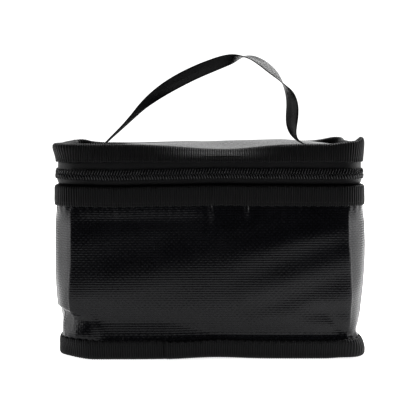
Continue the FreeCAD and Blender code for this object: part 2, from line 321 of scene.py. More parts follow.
def outward(obj):
    """Turns the faces of a closed mesh outwards."""
    bm = bmesh.new()
    bm.from_mesh(obj.data)
    bmesh.ops.recalc_face_normals(bm, faces=bm.faces)
    bm.to_mesh(obj.data)
    bm.free()
    return obj


def fold_loop(line, thickness, per_end=3):
    """Closed outline round a centre line of (offset, height), with rounded ends."""
    line = np.array(line, float)
    ahead = np.gradient(line, axis=0)
    ahead /= np.linalg.norm(ahead, axis=1)[:, None]
    left = np.stack([-ahead[:, 1], ahead[:, 0]], 1) * thickness / 2
    loop = list(line + left)
    for k in range(1, per_end + 1):
        a = math.pi * k / (per_end + 1)
        loop.append(line[-1] + left[-1] * math.cos(a) + ahead[-1] * math.sin(a) * thickness / 2)
    loop += list((line - left)[::-1])
    for k in range(1, per_end + 1):
        a = math.pi * k / (per_end + 1)
        loop.append(line[0] - left[0] * math.cos(a) - ahead[0] * math.sin(a) * thickness / 2)
    return np.array(loop)


def resample(line, count):
    """The same line with evenly spaced points and soft corners."""
    line = np.array(line, float)
    steps = np.concatenate([[0], np.cumsum(np.linalg.norm(np.diff(line, axis=0), axis=1))])
    even = np.linspace(0, steps[-1], count)
    out = np.stack([np.interp(even, steps, line[:, k]) for k in range(2)], 1)
    for _ in range(2):
        out[1:-1] = (out[:-2] + 2 * out[1:-1] + out[2:]) / 4
    return out


def loop_lengths(loop):
    closed = np.vstack([loop, loop[:1]])
    return np.concatenate([[0], np.cumsum(np.linalg.norm(np.diff(closed, axis=0), axis=1))])


def rib_height(s):
    """Rounded ribs of the grosgrain tape, 0 to 1."""
    return np.abs(np.sin(math.pi * s / RIB_PITCH)) ** 0.8


def stretch_of(low_s, high_s, step):
    count = max(8, int(round((high_s - low_s) / step)))
    return np.linspace(low_s, high_s, count + 1)


ROUND_COLUMNS = np.arange(392 * 6) * ROUND / (392 * 6)


def round_band(name, loop, place, ribs=0.0, columns=ROUND_COLUMNS):
    """Closed band round the whole bag. place(s, offset, height) gives its points.
    Ribs push the outer side of the loop outwards."""
    s = columns[:, None]
    offset = np.repeat(loop[None, :, 0], len(columns), 0)
    height = np.repeat(loop[None, :, 1], len(columns), 0)
    if ribs:
        normals = np.roll(loop, -1, 0) - np.roll(loop, 1, 0)
        normals = np.stack([normals[:, 1], -normals[:, 0]], 1)
        normals /= np.linalg.norm(normals, axis=1)[:, None] + 1e-9
        area = np.sum(loop[:, 0] * np.roll(loop[:, 1], -1) - np.roll(loop[:, 0], -1) * loop[:, 1])
        normals *= math.copysign(1, area)
        lift = ribs * rib_height(s)
        offset = offset + lift * normals[None, :, 0]
        height = height + lift * normals[None, :, 1]
    points = place(np.repeat(s, loop.shape[0], 1), offset, height)
    marks = np.append(columns, ROUND)
    return outward(grid_object(name, points, True, True, marks, loop_lengths(loop)))


def run_band(name, loop, place, low_s, high_s, step=1.2):
    """Closed band along part of the way round, with both ends capped."""
    columns = stretch_of(low_s, high_s, step)
    s = np.repeat(columns[:, None], len(loop), 1)
    offset = np.repeat(loop[None, :, 0], len(columns), 0)
    height = np.repeat(loop[None, :, 1], len(columns), 0)
    points = place(s, offset, height)
    return outward(grid_object(name, points, False, True, columns, loop_lengths(loop), caps=True))


def tube_mesh(paths, radius, sides=6):
    """One mesh of many short round tubes. paths is an array of (tube, point, xyz) in metres."""
    paths = np.asarray(paths, float)
    count, n, _ = paths.shape
    ahead = np.gradient(paths, axis=1)
    ahead /= np.linalg.norm(ahead, axis=2)[..., None] + 1e-12
    helper = np.zeros_like(ahead)
    flat = np.abs(ahead[..., 2]) > 0.9
    helper[..., 2] = np.where(flat, 0, 1)
    helper[..., 0] = np.where(flat, 1, 0)
    side = np.cross(ahead, helper)
    side /= np.linalg.norm(side, axis=2)[..., None] + 1e-12
    up = np.cross(side, ahead)
    shrink = np.ones(n)
    shrink[0] = shrink[-1] = 0.55
    rings = []
    for k in range(sides):
        a = 2 * math.pi * k / sides
        rings.append(paths + (side * math.cos(a) + up * math.sin(a)) * radius * shrink[None, :, None])
    verts = np.stack(rings, 2).reshape(-1, 3)
    faces = []
    for c in range(count):
        base = c * n * sides
        for i in range(n - 1):
            for k in range(sides):
                k2 = (k + 1) % sides
                a, b = base + i * sides, base + (i + 1) * sides
                faces.append((a + k, a + k2, b + k2, b + k))
        faces.append(tuple(base + k for k in range(sides))[::-1])
        faces.append(tuple(base + (n - 1) * sides + k for k in range(sides)))
    return verts, faces


STITCH_PITCH, STITCH_LENGTH, STITCH_RADIUS = 3.3, 2.5, 0.17


def stitches(name, place, offset, height, body):
    """A row of lockstitches round the bag."""
    starts = np.arange(0, ROUND - STITCH_LENGTH, STITCH_PITCH)
    t = np.linspace(0, 1, 6)
    s = starts[:, None] + t[None, :] * STITCH_LENGTH
    sag = -0.16 * (2 * t - 1) ** 2
    points = place(s, offset + sag[None, :] + 0 * s, height + 0 * s)
    obj = mesh_object(name, *tube_mesh(points, STITCH_RADIUS * MM))
    return finish_piece(obj, body, MAT["thread"])


# ---------------------------------------------------------------- materials

class Nodes:
    """Short way to write a node tree."""

    def __init__(self, name):
        self.material = bpy.data.materials.new(name)
        self.material.use_nodes = True
        self.tree = self.material.node_tree
        self.shader = self.tree.nodes["Principled BSDF"]

    def add(self, kind, **values):
        node = self.tree.nodes.new(kind)
        for key, value in values.items():
            if hasattr(node, key):
                setattr(node, key, value)
            else:
                node.inputs[key].default_value = value
        return node

    def link(self, a, b):
        self.tree.links.new(a, b)

    def math(self, operation, a, b=None, c=None):
        node = self.tree.nodes.new("ShaderNodeMath")
        node.operation = operation
        for k, v in enumerate((a, b, c)):
            if v is None:
                continue
            if isinstance(v, (int, float)):
                node.inputs[k].default_value = v
            else:
                self.link(v, node.inputs[k])
        return node.outputs[0]

    def cloth(self):
        """The cloth's own coordinates, in millimetres."""
        node = self.add("ShaderNodeAttribute", attribute_name="cloth")
        split = self.add("ShaderNodeSeparateXYZ")
        self.link(node.outputs["Vector"], split.inputs[0])
        return split.outputs[0], split.outputs[1]

    def noise(self, scale, detail=3.0, rough=0.55, vector=None):
        node = self.add("ShaderNodeTexNoise")
        node.inputs["Scale"].default_value = scale
        node.inputs["Detail"].default_value = detail
        node.inputs["Roughness"].default_value = rough
        if vector is None:
            place = self.add("ShaderNodeTexCoord")
            vector = place.outputs["Object"]
        self.link(vector, node.inputs["Vector"])
        return node.outputs["Fac"]

    def spread(self, value, low, high):
        """A 0 to 1 value, spread between low and high."""
        node = self.add("ShaderNodeMapRange")
        node.inputs["To Min"].default_value = low
        node.inputs["To Max"].default_value = high
        self.link(value, node.inputs["Value"])
        return node.outputs[0]

    def colours(self, value, dark, light):
        ramp = self.add("ShaderNodeValToRGB")
        ramp.color_ramp.elements[0].position = 0.3
        ramp.color_ramp.elements[1].position = 0.7
        ramp.color_ramp.elements[0].color = (*dark, 1)
        ramp.color_ramp.elements[1].color = (*light, 1)
        self.link(value, ramp.inputs[0])
        self.link(ramp.outputs[0], self.shader.inputs["Base Color"])

    def bump(self, height, distance, strength=1.0, under=None):
        node = self.add("ShaderNodeBump")
        node.inputs["Distance"].default_value = distance
        node.inputs["Strength"].default_value = strength
        self.link(height, node.inputs["Height"])
        if under is not None:
            self.link(under, node.inputs["Normal"])
        return node.outputs[0]

    def set(self, **values):
        for key, value in values.items():
            self.shader.inputs[key.replace("_", " ")].default_value = value
        return self


def thread_wave(n, along, pitch):
    """0 to 1 to 0 over one thread."""
    return n.math("ABSOLUTE", n.math("SINE", n.math("MULTIPLY", along, math.pi / pitch)))


def coated_weave(name, pitch=WEAVE_PITCH):
    """Black coated glass-fibre cloth: a flat weave under a glossy skin, its thread crests painted lighter as
    a painted highlight.
    """
    n = Nodes(name)
    s, t = n.cloth()
    across = thread_wave(n, t, pitch)
    along = thread_wave(n, s, pitch)
    over = n.math("SINE", n.math("MULTIPLY", s, math.pi / pitch))
    under = n.math("SINE", n.math("MULTIPLY", t, math.pi / pitch))
    weave = n.math("MULTIPLY_ADD", n.math("MULTIPLY", over, under), 0.22, n.math("MULTIPLY", across, 0.75))
    weave = n.math("MULTIPLY_ADD", along, 0.28, weave)
    worn = n.noise(38, 4)
    fine = n.noise(420, 2)
    # Base colour: the weave's thread crests are painted lighter than its hollows, a painted highlight along
    # the threads; the worn noise is the cloth's own uneven tone.
    thread = n.math("MULTIPLY", weave, 0.45)
    n.colours(n.math("MULTIPLY_ADD", worn, 0.55, thread), (0.0016, 0.0016, 0.0021), (0.0056, 0.0057, 0.0070))
    n.link(n.spread(n.math("MULTIPLY_ADD", fine, 0.35, n.math("MULTIPLY", worn, 0.65)), 0.19, 0.32),
           n.shader.inputs["Roughness"])
    rough = n.bump(fine, 0.00012, 0.35)
    n.link(n.bump(weave, 0.00013, 0.8, rough), n.shader.inputs["Normal"])
    n.set(Specular_IOR_Level=0.2)
    return n.material


def lining_cloth(name):
    """Silver-grey glass-fibre lining, plain weave."""
    n = Nodes(name)
    s, t = n.cloth()
    over = n.math("SINE", n.math("MULTIPLY", s, math.pi / 1.1))
    under = n.math("SINE", n.math("MULTIPLY", t, math.pi / 1.1))
    weave = n.math("MULTIPLY", over, under)
    worn = n.noise(30, 4)
    n.colours(worn, (0.20, 0.205, 0.21), (0.33, 0.335, 0.34))
    n.link(n.spread(worn, 0.42, 0.62), n.shader.inputs["Roughness"])
    n.link(n.bump(weave, 0.00018, 0.6), n.shader.inputs["Normal"])
    n.set(Metallic=0.35)
    return n.material


def grosgrain(name):
    """Ribbed binding tape: matt yarn with fine threads across each rib, with painted shade between the ribs
    and lighter crests.
    """
    n = Nodes(name)
    s, t = n.cloth()
    fine = thread_wave(n, t, 0.45)
    ribs = thread_wave(n, s, RIB_PITCH)
    fuzz = n.noise(900, 3, 0.7)
    worn = n.noise(45, 3)
    shade = n.math("MULTIPLY_ADD", fuzz, 0.25, n.math("MULTIPLY", worn, 0.2))
    # Base colour: painted shade in the grooves between the ribs, lighter on the rib crests; the noise mix
    # named shade is the yarn's own uneven tone, not light.
    n.colours(n.math("MULTIPLY_ADD", ribs, 0.5, shade), (0.0002, 0.0002, 0.0003), (0.0040, 0.0040, 0.0046))
    n.link(n.spread(ribs, 0.7, 0.36), n.shader.inputs["Roughness"])
    n.link(n.bump(n.math("MULTIPLY_ADD", fuzz, 0.6, n.math("MULTIPLY", fine, 0.5)), 0.00012, 0.7),
           n.shader.inputs["Normal"])
    n.set(Sheen_Weight=0.006, Sheen_Roughness=0.45, Specular_IOR_Level=0.15)
    return n.material


def zip_fabric(name):
    """Fine twill of the zip tape."""
    n = Nodes(name)
    s, t = n.cloth()
    twill = thread_wave(n, n.math("ADD", s, t), 0.7)
    fuzz = n.noise(700, 3)
    n.colours(fuzz, (0.0006, 0.0006, 0.0009), (0.0024, 0.0024, 0.0032))
    n.link(n.spread(fuzz, 0.3, 0.42), n.shader.inputs["Roughness"])
    n.link(n.bump(twill, 0.00012, 0.7), n.shader.inputs["Normal"])
    n.set(Specular_IOR_Level=0.17)
    return n.material


def webbing(name):
    """Strap webbing: slanting yarns that lean both ways from the middle."""
    n = Nodes(name)
    s, t = n.cloth()
    lean = n.math("ABSOLUTE", n.math("SUBTRACT", t, 5.0))
    yarn = thread_wave(n, n.math("ADD", s, lean), 1.1)
    fine = thread_wave(n, t, 0.8)
    fuzz = n.noise(800, 3)
    n.colours(fuzz, (0.0006, 0.0006, 0.0008), (0.0022, 0.0022, 0.0027))
    n.link(n.spread(fuzz, 0.24, 0.34), n.shader.inputs["Roughness"])
    n.link(n.bump(n.math("MULTIPLY_ADD", fine, 0.4, yarn), 0.00014, 0.6), n.shader.inputs["Normal"])
    n.set(Specular_IOR_Level=0.17)
    return n.material


def moulded(name, dark, light, rough_low, rough_high, metallic=0.0, scale=160):
    """Plastic or painted metal with a faintly uneven skin."""
    n = Nodes(name)
    worn = n.noise(scale, 3)
    n.colours(worn, dark, light)
    n.link(n.spread(worn, rough_low, rough_high), n.shader.inputs["Roughness"])
    n.link(n.bump(n.noise(scale * 6, 2), 0.00003, 0.5), n.shader.inputs["Normal"])
    n.set(Metallic=metallic)
    return n.material


MAT = {
    "shell": coated_weave("coated_weave"),
    "lining": lining_cloth("glass_fibre_lining"),
    "binding": grosgrain("grosgrain_binding"),
    "zip_tape": zip_fabric("zip_tape_twill"),
    "webbing": webbing("strap_webbing"),
    "coil": moulded("coil_plastic", (0.005, 0.005, 0.006), (0.010, 0.010, 0.012), 0.22, 0.34),
    "thread": moulded("sewing_thread", (0.001, 0.001, 0.0012), (0.003, 0.003, 0.0034), 0.6, 0.75),
    "metal": moulded("black_metal", (0.012, 0.012, 0.013), (0.022, 0.022, 0.024), 0.28, 0.4, 0.6),
}


# ---------------------------------------------------------------- body

WALL_STEP = 480
WALL_COLUMNS = np.arange(WALL_STEP * 2) * ROUND / (WALL_STEP * 2)


def wall_place(s, offset, z):
    """The wall, with its creases and the lap of its upright seam at the back."""
    x, _, _, ny = plan(s)
    lap = ease(ny, 0.9, 0.99) * 0.8 * ease(x, -0.4, 0.4) * (1 - ease(x, 11.6, 12.4))
    return body_point(s, offset + creases(s, z) + np.where(offset > -SHELL_T / 2, lap, 0), z)


def body_wall():
    low, high = WALL_LOW[2], WALL_HIGH[2]
    heights = np.linspace(low, high, 110)
    loop = np.array([(0, z) for z in heights] + [(-SHELL_T, z) for z in heights[::-1]])
    obj = round_band("body_wall_cloth", loop, wall_place, columns=WALL_COLUMNS)
    return finish_piece(obj, "bag_body", MAT["shell"], ["body_wall"])


def body_liner():
    heights = np.linspace(WALL_LOW[2], WALL_HIGH[2], 60)
    out, inner = -SHELL_T - 0.05, -SHELL_T - LINER_T
    loop = np.array([(out, z) for z in heights] + [(inner, z) for z in heights[::-1]])

    def place(s, offset, z):
        soft = 0.35 * ripple(2 * s + 0.8 * z, 31) * ease(z, 14, 30) * (1 - ease(z, 100, 112))
        return body_point(s, offset + creases(s, z) - np.abs(soft), z)

    obj = round_band("body_lining_cloth", loop, place, columns=WALL_COLUMNS[::2])
    return finish_piece(obj, "bag_body", MAT["lining"], ["body_liner"])


def rim_binding():
    low, top = RIM_LOW[2], RIM_HIGH[2]
    line = resample([(0.45, low), (0.75, low + 3), (0.75, top - 3), (0.5, top - 0.9), (-0.9, top - 0.4),
                     (-2.0, top - 1.2), (-2.1, low + 2.5)], 34)
    loop = fold_loop(line, TAPE_T)

    def place(s, offset, z):
        edge = 0.22 * np.sin(2 * math.pi * s / (ROUND / 98)) * (1 - ease(z, low, low + 1.5))
        return body_point(s, offset + 0.12 * ripple(s, 5), z + edge)

    obj = round_band("rim_binding_tape", loop, place, ribs=RIB)
    return finish_piece(obj, "bag_body", MAT["binding"], ["rim_binding"])


def bottom_binding():
    top = BOTTOM_HIGH[2]
    line = resample([(0.45, top), (0.8, top - 3), (0.85, 3.2), (0.6, 1.4), (-1.2, 1.0), (-2.9, 1.4),
                     (-3.2, 3.0), (-3.2, top - 2.8)], 38)
    loop = fold_loop(line, TAPE_T)

    def place(s, offset, z):
        x, _, _, ny = plan(s)
        joint = 1.1 * ease(x, -30.6, -30.2) * (1 - ease(x, -22, 30)) - 0.9 * bump(x, -31.3, 0.8)
        lap = np.where(ny < -0.9, joint, 0)
        outer = ease(offset, -0.4, 0.3)
        edge = 0.3 * np.sin(2 * math.pi * s / (ROUND / 120)) * ease(z, top - 1.5, top)
        wander = 0.35 * ripple(s, 12) * ease(z, 4, top)
        dropped = 0.7 * ease(x, -30.6, -30.2) * (1 - ease(x, -16, 10)) * ease(z, 3, 8)
        wander = wander - np.where(ny < -0.9, dropped, 0)
        return body_point(s, offset + lap * outer, z + edge + wander)

    obj = round_band("bottom_binding_tape", loop, place, ribs=RIB)
    return finish_piece(obj, "bag_body", MAT["binding"], ["bottom_binding"])


def thicken(obj, thickness, offset=-1.0):
    """Gives a sheet its thickness, and joins the doubled points along its spine."""
    bm = bmesh.new()
    bm.from_mesh(obj.data)
    bmesh.ops.remove_doubles(bm, verts=bm.verts, dist=0.02 * MM)
    bmesh.ops.recalc_face_normals(bm, faces=bm.faces)
    up = sum(f.normal.z * f.calc_area() for f in bm.faces)
    if up < 0:
        bmesh.ops.reverse_faces(bm, faces=bm.faces)
    bm.to_mesh(obj.data)
    bm.free()
    solid = obj.modifiers.new("thickness", "SOLIDIFY")
    solid.thickness = thickness * MM
    solid.offset = offset
    return obj


def bottom_sheet(name, top_inset, rise, material, node):
    """Bottom panel or its lining: up beside the seam, then down to the ground."""
    columns = WALL_COLUMNS[::2]
    profile = resample([(0.0, 1.0), (0.0, 10.0), (0.6, 12.4), (3.0, 12.0), (9.0, 7.4), (16.0, 3.0),
                        (24.0, 0.9), (34.0, 0.75)], 40)
    x, y, nx, ny = (v[:, None] for v in plan(columns))
    inset = top_inset + profile[None, :, 0]
    height = np.repeat(profile[None, :, 1] + rise, len(columns), 0)
    px, py = x - nx * np.minimum(inset, 13), y - ny * np.minimum(inset, 13)
    more = np.maximum(inset - 13, 0)
    px = np.clip(px, -(HALF_W - 13 - more), HALF_W - 13 - more)
    py = np.clip(py, -(HALF_D - 13 - more), HALF_D - 13 - more)
    rings = [np.stack([px, py, height], -1)]
    last = rings[0][:, -1, :]
    inner = []
    for f in np.linspace(0, 1, 14)[1:]:
        cx = np.clip(last[:, 0], -50, 50)
        inner.append(np.stack([last[:, 0] * (1 - f) + cx * f, last[:, 1] * (1 - f),
                               last[:, 2] + 0.25 * ripple(last[:, 0] * 3 + 40 * f, 40) * f * (1 - f)], -1))
    points = np.concatenate([rings[0], np.stack(inner, 1)], 1)
    marks = np.arange(points.shape[1], dtype=float)
    obj = grid_object(name, points * MM, True, False, np.append(columns, ROUND), marks)
    cloth_from_plan(obj)
    thicken(obj, LINER_T * 0.8)
    return finish_piece(obj, "bag_body", material, [node])


def cloth_from_plan(obj):
    """Takes a flat panel's cloth coordinates from its plan."""
    me = obj.data
    vertex = np.zeros(len(me.loops), np.int32)
    me.loops.foreach_get("vertex_index", vertex)
    co = np.zeros(len(me.vertices) * 3)
    me.vertices.foreach_get("co", co)
    co = co.reshape(-1, 3) / MM
    marks = np.zeros((len(vertex), 3), np.float32)
    marks[:, 0], marks[:, 1] = co[vertex, 0], co[vertex, 1]
    me.attributes["cloth"].data.foreach_set("vector", marks.ravel())


# ---------------------------------------------------------------- zip

def zip_ends():
    """s where the zip starts on the left side and ends on the right side."""
    left = SIDE_W + ARC + (SIDE_D - ZIP_END_Y)
    return left, ROUND - left


ZIP_START, ZIP_STOP = zip_ends()
COIL_RADIUS = 0.36               # the coil's plastic wire
COIL_REACH = 0.76                # a row's height, as a share of its turn's pattern
COIL_STAND = 0.62                # how far it stands off the tape, likewise
COIL_RISE = 0.9                  # the visible middle line lies this far above the joint's height


def lower_tape():
    low, edge = TAPE_LOW[2], TAPE_HIGH[2]
    line = resample([(-2.9, low), (-2.9, 122.0), (-2.6, 123.6), (-1.5, 125.2), (-1.3, 127.0),
                     (-1.3, edge + 0.8)], 26)
    obj = run_band("zip_tape_lower_cloth", fold_loop(line, 0.6), body_point, ZIP_START, ZIP_STOP)
    return finish_piece(obj, "bag_body", MAT["zip_tape"], ["zip_tape_lower"])


def teeth(name, place, direction, body, node):
    """One row of the coil: each turn crosses from the tape to the middle of the chain and back."""
    low_s, high_s = ZIP_START + 2, ZIP_STOP - 2
    count = int((high_s - low_s) / TOOTH_PITCH)
    shift = 0 if direction < 0 else TOOTH_PITCH / 2
    starts = low_s + shift + np.arange(count - 1) * (high_s - low_s) / count
    # across: away from the middle line; lean: along the chain; out: off the tape
    turn = [(4.3, 0.05, 0.1), (4.35, 0.0, 0.75), (3.8, 0.1, 1.3), (2.6, 0.4, 1.5), (1.4, 0.75, 1.5),
            (0.55, 0.98, 1.35), (0.1, 1.08, 1.0), (0.35, 1.05, 0.5), (1.4, 0.8, 0.2), (3.0, 0.35, 0.05)]
    turn = np.array(turn)
    s = starts[:, None] - turn[None, :, 1]
    offset = -1.0 + COIL_STAND * turn[None, :, 2] + np.zeros_like(s)
    z = ZIP_Z + COIL_RISE + direction * COIL_REACH * turn[None, :, 0] + np.zeros_like(s)
    points = place(s, offset, z)
    obj = mesh_object(name, *tube_mesh(points, COIL_RADIUS * MM, sides=7))
    return finish_piece(obj, body, MAT["coil"], [node])


def upper_tape_line():
    base = FLANGE_LOW[2]
    return resample([(-1.3, ZIP_Z + 0.5), (-1.3, 133.5), (-1.2, 136.0), (-0.7, base - 2.0),
                     (-0.4, base + 0.6), (-0.4, base + 3.0)], 22)


def upper_tape():
    obj = run_band("zip_tape_upper_cloth", fold_loop(upper_tape_line(), 0.6), body_point, ZIP_START, ZIP_STOP)
    return finish_piece(obj, "lid", MAT["zip_tape"], ["zip_tape_upper"])


def hinge_web():
    """Fabric across the back and round the rear corners, from inside the rim to the lid's seam."""
    base = FLANGE_LOW[2]
    line = resample([(-2.9, TAPE_LOW[2]), (-2.9, 122.0), (-2.5, 124.0), (-1.5, 128.0), (-1.3, 131.0),
                     (-1.2, 135.0), (-0.6, base - 1.5), (-0.4, base + 3.0)], 40)
    obj = run_band("hinge_web_cloth", fold_loop(line, 0.7), body_point, ZIP_STOP, ROUND + ZIP_START)
    finish_piece(obj, None, MAT["shell"], ["hinge_web_lower", "hinge_web_upper"])
    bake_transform(obj)
    return obj


# ---------------------------------------------------------------- lid

FRONT_LEAN = 47.0


def flange_lean(s):
    """How far the lid's standing flange leans inwards, in degrees."""
    x, _, _, ny = plan(s)
    front = ease(-ny, 0.3, 0.95)
    back = ease(ny, 0.3, 0.95)
    dip = np.where(x < 11, bump(x, 11, 54), bump(x, 11, 39))
    lean = front * FRONT_LEAN * dip
    lean = lean + back * (22 + 14 * bump(x, -70, 50))
    ear = np.where(x < 0, 20, 7)
    lean = lean - ear * corner(s) * (1 - 0.6 * back) + 5 * ripple(s, 17) * (1 - front)
    return np.radians(lean)


def flange_tall(s):
    """Extra height of the flange at its corner ears."""
    x, y, _, _ = plan(s)
    front_left = corner(s) * ease(-x, 60, 100) * ease(-y, 20, 50)
    right = corner(s) * ease(x, 60, 100)
    return 2.0 * right + 2.6 * ease(x, 101, 106) * ease(-y, 20, 45) + 0.2 * front_left


def flange_place(s, offset, z):
    """Points of the flange, which turns about its foot."""
    base = FLANGE_LOW[2]
    x, y, nx, ny = plan(s)
    lean = flange_lean(s)
    up = np.maximum(z - base, 0)
    up = up * (1 + flange_tall(s) / (FLANGE_HIGH[2] - base))
    depth = offset * np.cos(lean * ease(z, base - 1, base + 4))
    curl = lean * (0.55 + 0.45 * ease(up, 0, 8))
    out = depth - up * np.sin(curl) + form(s, np.minimum(z, base + 2))
    height = np.minimum(z, base) + up * np.cos(curl) + offset * np.sin(curl) * 0.8
    return np.stack([x + nx * out, y + ny * out, height], -1) * MM


def lid_binding():
    low, top = FLANGE_LOW[2], FLANGE_HIGH[2]
    line = resample([(0.5, low), (0.8, low + 3), (0.8, top - 2.6), (0.35, top - 0.8), (-1.1, top - 0.35),
                     (-2.4, top - 1.0), (-2.7, top - 2.8), (-2.5, low + 3.4)], 34)

    def place(s, offset, z):
        edge = 0.2 * np.sin(2 * math.pi * s / (ROUND / 104)) * (1 - ease(z, low, low + 1.5))
        return flange_place(s, offset, z + edge)

    obj = round_band("lid_binding_tape", fold_loop(line, TAPE_T), place, ribs=RIB)
    return finish_piece(obj, "lid", MAT["binding"], ["lid_binding"])


def crown(x, y):
    """Height of the lid's middle."""
    lengthwise = through(x, [(-110, 149.2), (-72, 150.4), (-30, 151.5), (5, 152.3), (40, 153.7),
                             (72, 153.9), (110, 151.5)])
    return lengthwise - 0.0009 * (y - 8) ** 2


def lid_height(x, y, inset):
    """The lid panel climbs behind its flange, then rises gently to the crown."""
    foot = FLANGE_LOW[2] + 2.0
    shoulder = 146.9 + 1.8 * ease(x, 0, 60)
    climb = 1 - np.exp(-(np.maximum(inset - 2.2, 0) / 3.6) ** 1.2)
    dome = 1 - (1 - np.clip(inset / HALF_D, 0, 1)) ** 1.35
    soft = 0.3 * np.sin(x / 17 + 1.0) * np.sin(y / 13 + 0.5) + 0.12 * np.sin(x / 7.3 + y / 9.1)
    return foot + (shoulder - foot) * climb + (crown(x, y) + soft - shoulder) * dome


def flange_shelter(s, inset):
    """Highest the lid may be at each inset, so that it passes under the leaning flange."""
    x, y, nx, ny = plan(s)
    up = np.linspace(3.4, FLANGE_HIGH[2] - FLANGE_LOW[2], 9)
    heights = FLANGE_LOW[2] + up[None, :] + 0 * s[:, None]
    under = flange_place(s[:, None] + 0 * up, -3.5 + 0 * up[None, :], heights) / MM
    leg = (x[:, None] - under[..., 0]) * nx[:, None] + (y[:, None] - under[..., 1]) * ny[:, None]
    limit = np.zeros((len(s), len(inset)))
    for k in range(len(s)):
        reach = np.maximum.accumulate(leg[k])
        beyond = np.maximum(inset - reach[-1], 0)
        limit[k] = np.interp(inset, reach, under[k, :, 2]) - 0.9 + 1.1 * beyond
    return limit


def lid_sheet(name, drop, thickness, material, node):
    """The lid's cloth: up inside the flange's fold, then across the lid."""
    columns = WALL_COLUMNS[::2]
    base = FLANGE_LOW[2]
    rows = []
    for z in (base + 8.0, base + 5.0, base + 3.2, base + 2.0 - drop):
        rows.append(flange_place(columns, np.full_like(columns, -1.7 - drop), np.full_like(columns, z)) / MM)
    foot = rows[-1]
    fraction = np.linspace(0, 1, 60)[1:] ** 1.35
    spine = np.clip(foot[:, 0], -52.0, 52.0)
    px = foot[:, :1] * (1 - fraction) + spine[:, None] * fraction
    py = foot[:, 1:2] * (1 - fraction)
    inset = HALF_D * fraction + 2.2 * (1 - fraction)
    pz = np.minimum(lid_height(px, py, inset[None, :]), flange_shelter(columns, inset)) - drop
    for _ in range(3):
        pz[:, 1:-1] = (pz[:, :-2] + 2 * pz[:, 1:-1] + pz[:, 2:]) / 4
    points = np.concatenate([np.stack(rows, 1), np.stack([px, py, pz], -1)], 1)
    marks = np.arange(points.shape[1], dtype=float)
    obj = grid_object(name, points * MM, True, False, np.append(columns, ROUND), marks)
    cloth_from_plan(obj)
    thicken(obj, thickness)
    return finish_piece(obj, "lid", material, [node])


# ---------------------------------------------------------------- strap

# Route of the strap's free arch in its own XZ plane: x, z, and the twist of its width in degrees.
STRAP_ROUTE = [
    (-75.0, 151.0, 0), (-69.2, 156.3, -3), (-61.2, 163.8, -8), (-53.7, 171.3, -16), (-47.2, 178.0, -27),
    (-39.9, 184.1, -40), (-31.0, 190.3, -53), (-21.9, 195.6, -60), (-9.7, 201.6, -61), (2.0, 206.4, -57),
    (10.1, 209.3, -49), (15.6, 210.9, -37), (20.2, 212.0, -16), (24.2, 212.5, 5), (28.7, 212.0, 19),
    (36.0, 208.6, 32), (42.6, 203.7, 34), (47.5, 199.2, 24), (52.6, 192.6, -2), (56.6, 186.3, -30),
    (58.4, 179.1, -48), (58.4, 171.8, -54), (58.2, 166.1, -46), (59.0, 159.8, -24), (61.6, 154.9, -5),
    (66.5, 151.8, 0),
]
LEFT_TAIL = (-94.0, -87.0, -80.0)
RIGHT_TAIL = (75.0, 82.0, 89.5)
STRAP_W = 10.0
STRAP_T = 1.0


def tail_height(x):
    """The sewn tails lie on the lid."""
    return lid_height(x, STRAP_Y, HALF_D + STRAP_Y) + STRAP_T / 2 + 0.1


def strap_line(count=420):
    """Even points along the strap: x, z and twist."""
    left = [(x, tail_height(x), 0) for x in LEFT_TAIL]
    right = [(x, tail_height(x), 0) for x in RIGHT_TAIL]
    route = np.array(left + STRAP_ROUTE + right, float)
    length = np.concatenate([[0], np.cumsum(np.hypot(*np.diff(route[:, :2], axis=0).T))])
    even = np.linspace(0, length[-1], count)
    line = np.stack([through(even, list(zip(length, route[:, k]))) for k in range(3)], 1)
    for _ in range(14):
        line[1:-1] = (line[:-2] + 2 * line[1:-1] + line[2:]) / 4
    return line, even


def strap_frame(line):
    ahead = np.gradient(line[:, :2], axis=0)
    ahead /= np.linalg.norm(ahead, axis=1)[:, None]
    twist = np.radians(line[:, 2])
    zero = np.zeros_like(twist)
    out = np.stack([-ahead[:, 1], zero, ahead[:, 0]], 1)
    back = np.stack([zero, zero + 1, zero], 1)
    side = back * np.cos(twist)[:, None] + out * np.sin(twist)[:, None]
    face = out * np.cos(twist)[:, None] - back * np.sin(twist)[:, None]
    centre = np.stack([line[:, 0], zero + STRAP_Y, line[:, 1]], 1)
    return centre, side, face


def strap():
    line, along = strap_line()
    centre, side, face = strap_frame(line)
    half, thick = STRAP_W / 2, STRAP_T / 2
    across = np.linspace(-1, 1, 15)
    pad = thick * (1 - 0.55 * np.abs(across) ** 6)
    outline = [(a * half, p) for a, p in zip(across, pad)]
    outline += [(half + 0.18, 0)] + [(a * half, -p) for a, p in zip(across[::-1], pad[::-1])]
    outline += [(-half - 0.18, 0)]
    outline = np.array(outline)
    wide, thick = outline[None, :, :1], outline[None, :, 1:]
    points = centre[:, None, :] + side[:, None, :] * wide + face[:, None, :] * thick
    marks = np.append(outline[:, 0] + half, outline[0, 0] + half)
    obj = outward(grid_object("carrying_strap", points * MM, False, True, along, marks, caps=True))
    finish_piece(obj, None, MAT["webbing"], ["handle_strap", "strap_end_left", "strap_end_right"])
    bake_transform(obj)
    return obj


